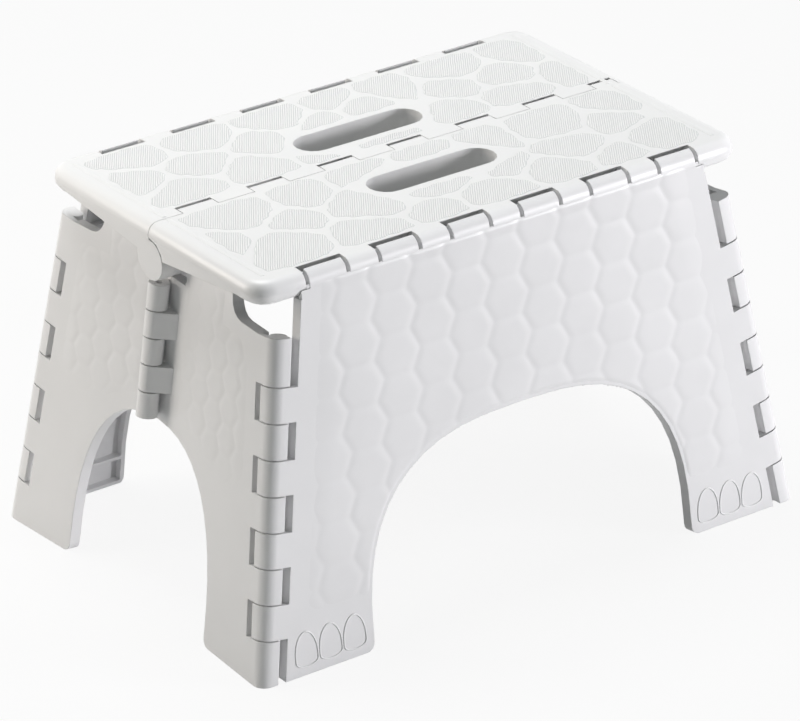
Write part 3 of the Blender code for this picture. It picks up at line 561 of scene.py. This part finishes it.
def quilt_sheet(name, body, turn, plane, span, mask_of, pattern_of):
    """Relief on a panel's outer face; the plane is an origin, two directions in the face and its normal."""
    origin = np.array(turn @ plane[0])
    across, up, outward = (np.array(turned(direction, turn)) for direction in plane[1:])
    a = np.arange(span[0], span[1], QUILT_GRID)
    b = np.arange(span[2], span[3], QUILT_GRID)
    a_grid, b_grid = np.meshgrid(a, b, indexing="ij")
    face = origin + a_grid[..., None] * across + b_grid[..., None] * up
    mask = mask_of(a_grid, face)
    lift = mask * (SHEET_BASE + pattern_of(face)) - (1 - mask) * SHEET_SINK
    points = face + lift[..., None] * outward
    back = face - SHEET_BACK * outward
    inside = mask > 0
    keep = inside[:-1, :-1] | inside[1:, :-1] | inside[1:, 1:] | inside[:-1, 1:]
    mesh = sheet_mesh(name, points, back, keep)
    smooth_mesh(mesh, SHEET_SMOOTH)
    new_piece(name, mesh, PANEL_PLASTIC, body)


def panel_quilts():
    half = FLOOR_LENGTH / 2
    side_plane = (SIDE_ORIGIN, Vector((1, 0, 0)), SIDE_UP, SIDE_NORMAL)
    side_span = (-half, half, -STOOL_HEIGHT / math.cos(LEAN), 0.0)
    for label, turn in SIDE_PLACES:
        quilt_sheet(f"quilt_side_{label}", f"side_{label}", turn,
                    side_plane, side_span, side_mask, side_pattern)
    end_plane = (CORNER_FOOT + END_ACROSS * PANEL_DEPTH, END_ACROSS, CORNER_UP, END_NORMAL)
    end_span = (0.0, FLOOR_HALF_WIDTH + SHEET_SPARE, 0.0, STOOL_HEIGHT)
    for label, turn in END_PLACES:
        quilt_sheet(f"quilt_end_{label}", f"end_{label}", turn,
                    end_plane, end_span, end_mask, end_pattern)


# Toe outlines

def add_bead(work, path, radius):
    """Round bead along a closed path; its ring of points is square to the path."""
    outward = Vector((0, 1, 0))
    rings = []
    for i, point in enumerate(path):
        tangent = (path[(i + 1) % len(path)] - path[i - 1]).normalized()
        side = tangent.cross(outward).normalized()
        ring = []
        for k in range(BEAD_SIDES):
            angle = 2 * math.pi * k / BEAD_SIDES
            ring.append(work.verts.new(point + radius * (math.cos(angle) * side + math.sin(angle) * outward)))
        rings.append(ring)
    for low, high in zip(rings, rings[1:] + rings[:1]):
        for k in range(BEAD_SIDES):
            n = (k + 1) % BEAD_SIDES
            work.faces.new((low[k], low[n], high[n], high[k]))


def on_side_face(x, z):
    """Point of the front side panel's outer face."""
    return Vector((x, SIDE_ORIGIN.y - (SIDE_ORIGIN.z - z) * SIDE_SPLAY, z))


def toe_path(centre):
    """One toe: an egg with a high round top and a flat foot."""
    upper, lower = TOE_POWERS
    points = []
    for i in range(TOE_STEPS):
        angle = 2 * math.pi * i / TOE_STEPS
        rise = math.sin(angle)
        if rise > 0:
            z = TOE_BEND + (TOE_TOP - TOE_BEND) * rise ** upper
        else:
            z = TOE_BEND - (TOE_BEND - TOE_FOOT) * abs(rise) ** lower
        points.append(on_side_face(centre + TOE_HALF * math.cos(angle), z))
    return points


def toe_outlines():
    for label, turn in SIDE_PLACES:
        work = bmesh.new()
        for hand in (-1, 1):
            for centre in TOE_CENTRES:
                add_bead(work, toe_path(hand * centre), TOE_BEAD)
        bmesh.ops.recalc_face_normals(work, faces=work.faces)
        mesh = finished_mesh(work, f"toes_{label}")
        mesh.transform(turn)
        smooth_mesh(mesh, BEAD_SMOOTH)
        new_piece(f"toes_{label}", mesh, PANEL_PLASTIC, f"side_{label}")


# Tread patches

def clip(polygon, normal, limit):
    """The part of a convex polygon where normal . point is below the limit."""
    kept = []
    for a, b in zip(polygon, polygon[1:] + polygon[:1]):
        side_a = normal.dot(a) - limit
        side_b = normal.dot(b) - limit
        if side_a <= 0:
            kept.append(a)
        if (side_a < 0 < side_b) or (side_b < 0 < side_a):
            kept.append(a.lerp(b, side_a / (side_a - side_b)))
    return kept


def rounded(polygon, cut, rounds):
    """Corner-cutting, which turns a polygon into a soft closed outline."""
    for _ in range(rounds):
        soft = []
        for a, b in zip(polygon, polygon[1:] + polygon[:1]):
            soft += [a.lerp(b, cut), a.lerp(b, 1 - cut)]
        polygon = soft
    return polygon


def area(polygon):
    return abs(sum(a.x * b.y - b.x * a.y for a, b in zip(polygon, polygon[1:] + polygon[:1]))) / 2


def wave_shift(p, phase):
    """Shift of a point of an outline by a slow and a fast wave in each direction."""
    shift = []
    for slow, slow_phase, fast, fast_phase in PATCH_WAVES:
        slow_wave = math.sin(slow[0] * p.x + slow[1] * p.y + slow_phase * phase)
        fast_wave = math.sin(fast[0] * p.x + fast[1] * p.y + fast_phase * phase)
        shift.append(slow_wave + PATCH_FAST_SHARE * fast_wave)
    return Vector(shift)


def uneven(polygon, phase):
    """The outline in short steps, each nudged by the waves."""
    points = []
    for a, b in zip(polygon, polygon[1:] + polygon[:1]):
        count = max(1, round((b - a).length / PATCH_STEP))
        for i in range(count):
            p = a.lerp(b, i / count)
            points.append(p + PATCH_WOBBLE * wave_shift(p, phase))
    return points


def patch_outlines(seed, far_edge, near_edge):
    """Outlines (x, distance from the seam) of one tread half's patches, from jittered cells."""
    draw = random.Random(seed)
    half = TREAD_LENGTH / 2 - PATCH_END_MARGIN
    seeds = []
    for row in range(PATCH_ROWS):
        for column in range(PATCH_COLUMNS):
            x = -half + 2 * half * (column + 0.5 + PATCH_STAGGER * (-1) ** row) / PATCH_COLUMNS
            y = near_edge + (far_edge - near_edge) * (row + 0.5) / PATCH_ROWS
            nudge = Vector((draw.uniform(-1, 1), draw.uniform(-1, 1)))
            seeds.append((Vector((x, y)) + PATCH_JITTER * nudge, draw.uniform(-1, 1)))
    reach = (SLOT_LENGTH - SLOT_WIDTH) / 2
    clear = SLOT_WIDTH / 2 + PATCH_SLOT_MARGIN
    outlines = []
    for centre, size in seeds:
        polygon = [Vector((-half, near_edge)), Vector((half, near_edge)),
                   Vector((half, far_edge)), Vector((-half, far_edge))]
        for other, other_size in seeds:
            if other is not centre:
                towards = (other - centre).normalized()
                middle = (other + centre) / 2
                shift = PATCH_SPREAD * (size - other_size)
                polygon = clip(polygon, towards, towards.dot(middle) - PATCH_BAND + shift)
        nearest = Vector((max(-reach, min(reach, centre.x)), SLOT_MIDDLE))
        away = (nearest - centre).normalized()
        polygon = clip(polygon, away, away.dot(nearest) - clear)
        phase = draw.uniform(0, 2 * math.pi)
        if len(polygon) > 2 and area(polygon) > PATCH_LEAST:
            outline = uneven(rounded(polygon, *PATCH_CORNER_CUT), phase)
            outlines.append(rounded(outline, *PATCH_EDGE_CUT))
    return outlines


def ribbed_patch(outline):
    """Closed plate of a patch outline whose top is cut into fine ribs."""
    work = bmesh.new()
    work.faces.new([work.verts.new((p.x, p.y, 0)) for p in outline])
    bmesh.ops.triangulate(work, faces=work.faces[:])
    across = Vector((RIB_DIRECTION.y, -RIB_DIRECTION.x, 0))
    marks = [across.dot(v.co) for v in work.verts]
    step = RIB_PITCH / 2
    for i in range(math.ceil(min(marks) / step), math.floor(max(marks) / step) + 1):
        everything = work.verts[:] + work.edges[:] + work.faces[:]
        bmesh.ops.bisect_plane(work, geom=everything, dist=RIB_CUT_REACH,
                               plane_co=across * (i * step), plane_no=across)
    for vertex in work.verts:
        turn = across.dot(vertex.co) / RIB_PITCH
        vertex.co.z = STOOL_HEIGHT - RIB_HEIGHT * (1 - 2 * abs(turn - math.floor(turn) - 0.5))
    middle = sum((v.co for v in work.verts), Vector()) / len(work.verts)
    top = STOOL_HEIGHT - TOP_DROP
    for spread, z in ((PATCH_SKIRT, top), (0.0, top - PATCH_SUNK)):
        skirt = bmesh.ops.extrude_edge_only(work, edges=[e for e in work.edges if e.is_boundary])
        for element in skirt["geom"]:
            if isinstance(element, bmesh.types.BMVert):
                away = (element.co - middle).xy.normalized()
                element.co.xy += spread * away
                element.co.z = z
    bmesh.ops.edgeloop_fill(work, edges=[e for e in work.edges if e.is_boundary])
    bmesh.ops.recalc_face_normals(work, faces=work.faces)
    return work


def tread_patches():
    far = TREAD_WIDTH / 2 - POCKET_BACK - PATCH_POCKET_MARGIN
    for label, sign, seed, near in PATCH_HALVES:
        together = bmesh.new()
        for outline in patch_outlines(seed, far, near):
            part = ribbed_patch([Vector((p.x, sign * p.y)) for p in outline])
            spare = finished_mesh(part, "patch")
            together.from_mesh(spare)
            bpy.data.meshes.remove(spare)
        mesh = finished_mesh(together, f"patches_{label}")
        new_piece(f"patches_{label}", mesh, PATCH_PLASTIC, f"tread_{label}_half")


def border_lines():
    """Low ridge that sets off the plain rim at both ends of the tread."""
    top = STOOL_HEIGHT - TOP_DROP
    foot = BORDER_WIDTH / 2
    crest = BORDER_WIDTH / 5
    section = (
        (-foot, top - PATCH_SUNK), (-foot, top + BORDER_LIP), (-crest, top + BORDER_HEIGHT),
        (crest, top + BORDER_HEIGHT), (foot, top + BORDER_LIP), (foot, top - PATCH_SUNK),
    )
    count = len(section)
    for label, sign in (("front", -1), ("rear", 1)):
        work = bmesh.new()
        for hand in (-1, 1):
            x = hand * (TREAD_LENGTH / 2 - BORDER_LINE)
            near, far = (
                [work.verts.new((x + a, sign * y, z)) for a, z in section]
                for y in (BORDER_SEAM_GAP, TREAD_WIDTH / 2 - BORDER_EDGE_GAP)
            )
            for k in range(count):
                n = (k + 1) % count
                work.faces.new((near[k], near[n], far[n], far[k]))
            work.faces.new(near)
            work.faces.new(far)
        bmesh.ops.recalc_face_normals(work, faces=work.faces)
        mesh = finished_mesh(work, f"border_{label}")
        new_piece(f"border_{label}", mesh, TREAD_PLASTIC, f"tread_{label}_half")


# The stool

for label, turn in SIDE_PLACES:
    panel_shell(f"tread_{label}", TREAD_PLASTIC, f"tread_{label}_half",
                Vector((0, 0, STOOL_HEIGHT)), Vector((0, 0, 1)))
    panel_shell(f"side_panel_{label}", PANEL_PLASTIC, f"side_{label}",
                turn @ SIDE_ORIGIN, turned(SIDE_NORMAL, turn))
for label, turn in END_PLACES:
    panel_shell(f"end_panel_{label}", PANEL_PLASTIC, f"end_{label}",
                turn @ CORNER_FOOT, turned(END_NORMAL, turn))
for name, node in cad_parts.items():
    if name.startswith("pin_"):
        node.data.materials.clear()
        node.data.materials.append(PIN_STEEL)
panel_quilts()
toe_outlines()
tread_patches()
border_lines()


# Floor, light and camera

def shown_white(tree):
    """1 for the rays that see the background: from the camera, a reflection or clear material."""
    path = add_node(tree, "ShaderNodeLightPath")
    either = add_node(tree, "ShaderNodeMath", operation="MAXIMUM")
    any_of = add_node(tree, "ShaderNodeMath", operation="MAXIMUM")
    tree.links.new(path.outputs["Is Camera Ray"], either.inputs[0])
    tree.links.new(path.outputs["Is Glossy Ray"], either.inputs[1])
    tree.links.new(either.outputs["Value"], any_of.inputs[0])
    tree.links.new(path.outputs["Is Transmission Ray"], any_of.inputs[1])
    return any_of.outputs["Value"]


def floor():
    """Pale matt floor that keeps the shadow and is seen as nearly white."""
    corners = [(x * FLOOR_REACH, y * FLOOR_REACH, 0) for x, y in ((-1, -1), (1, -1), (1, 1), (-1, 1))]
    mesh = bpy.data.meshes.new("floor")
    mesh.from_pydata(corners, [], [(0, 1, 2, 3)])
    made = bpy.data.objects.new("floor", mesh)
    bpy.context.scene.collection.objects.link(made)
    material = bpy.data.materials.new("floor_white")
    material.use_nodes = True
    tree = material.node_tree
    tree.nodes.clear()
    output = add_node(tree, "ShaderNodeOutputMaterial")
    matt = add_node(tree, "ShaderNodeBsdfDiffuse")
    matt.inputs["Color"].default_value = FLOOR_COLOUR
    glow = add_node(tree, "ShaderNodeEmission")
    pale = add_node(tree, "ShaderNodeMixShader")
    pale.inputs["Fac"].default_value = FLOOR_GLOW
    seen = add_node(tree, "ShaderNodeMixShader")
    tree.links.new(matt.outputs["BSDF"], pale.inputs[1])
    tree.links.new(glow.outputs["Emission"], pale.inputs[2])
    tree.links.new(shown_white(tree), seen.inputs["Fac"])
    tree.links.new(matt.outputs["BSDF"], seen.inputs[1])
    tree.links.new(pale.outputs["Shader"], seen.inputs[2])
    tree.links.new(seen.outputs["Shader"], output.inputs["Surface"])
    mesh.materials.append(material)


def softbox(name, place, size, power, colour):
    """Square soft light that faces the stool."""
    lamp = bpy.data.lights.new(name, "AREA")
    lamp.size = size
    lamp.energy = power
    lamp.color = colour
    made = bpy.data.objects.new(name, lamp)
    made.location = place
    made.rotation_euler = (Vector(place) - Vector(LIGHT_AIM)).to_track_quat("Z", "Y").to_euler()
    made.visible_camera = False
    bpy.context.scene.collection.objects.link(made)


def world_light():
    """Weak even light, with a white background for the rays that see it."""
    world = bpy.data.worlds.new("studio")
    bpy.context.scene.world = world
    world.use_nodes = True
    tree = world.node_tree
    tree.nodes.clear()
    output = add_node(tree, "ShaderNodeOutputWorld")
    soft = add_node(tree, "ShaderNodeBackground")
    soft.inputs["Color"].default_value = AMBIENT_COLOUR
    soft.inputs["Strength"].default_value = AMBIENT
    white = add_node(tree, "ShaderNodeBackground")
    white.inputs["Color"].default_value = (1, 1, 1, 1)
    white.inputs["Strength"].default_value = 1.0
    mix = add_node(tree, "ShaderNodeMixShader")
    tree.links.new(shown_white(tree), mix.inputs["Fac"])
    tree.links.new(soft.outputs["Background"], mix.inputs[1])
    tree.links.new(white.outputs["Background"], mix.inputs[2])
    tree.links.new(mix.outputs["Shader"], output.inputs["Surface"])


def camera():
    lens = bpy.data.cameras.new("camera")
    lens.lens = CAMERA_LENS
    lens.sensor_width = CAMERA_SENSOR
    lens.clip_end = CAMERA_REACH
    made = bpy.data.objects.new("camera", lens)
    made.location = CAMERA_PLACE
    made.rotation_euler = [math.radians(angle) for angle in CAMERA_TURN]
    bpy.context.scene.collection.objects.link(made)
    bpy.context.scene.camera = made


floor()
world_light()
for light in SOFT_LIGHTS:
    softbox(*light)
camera()
bpy.context.scene.view_settings.view_transform = "Standard"
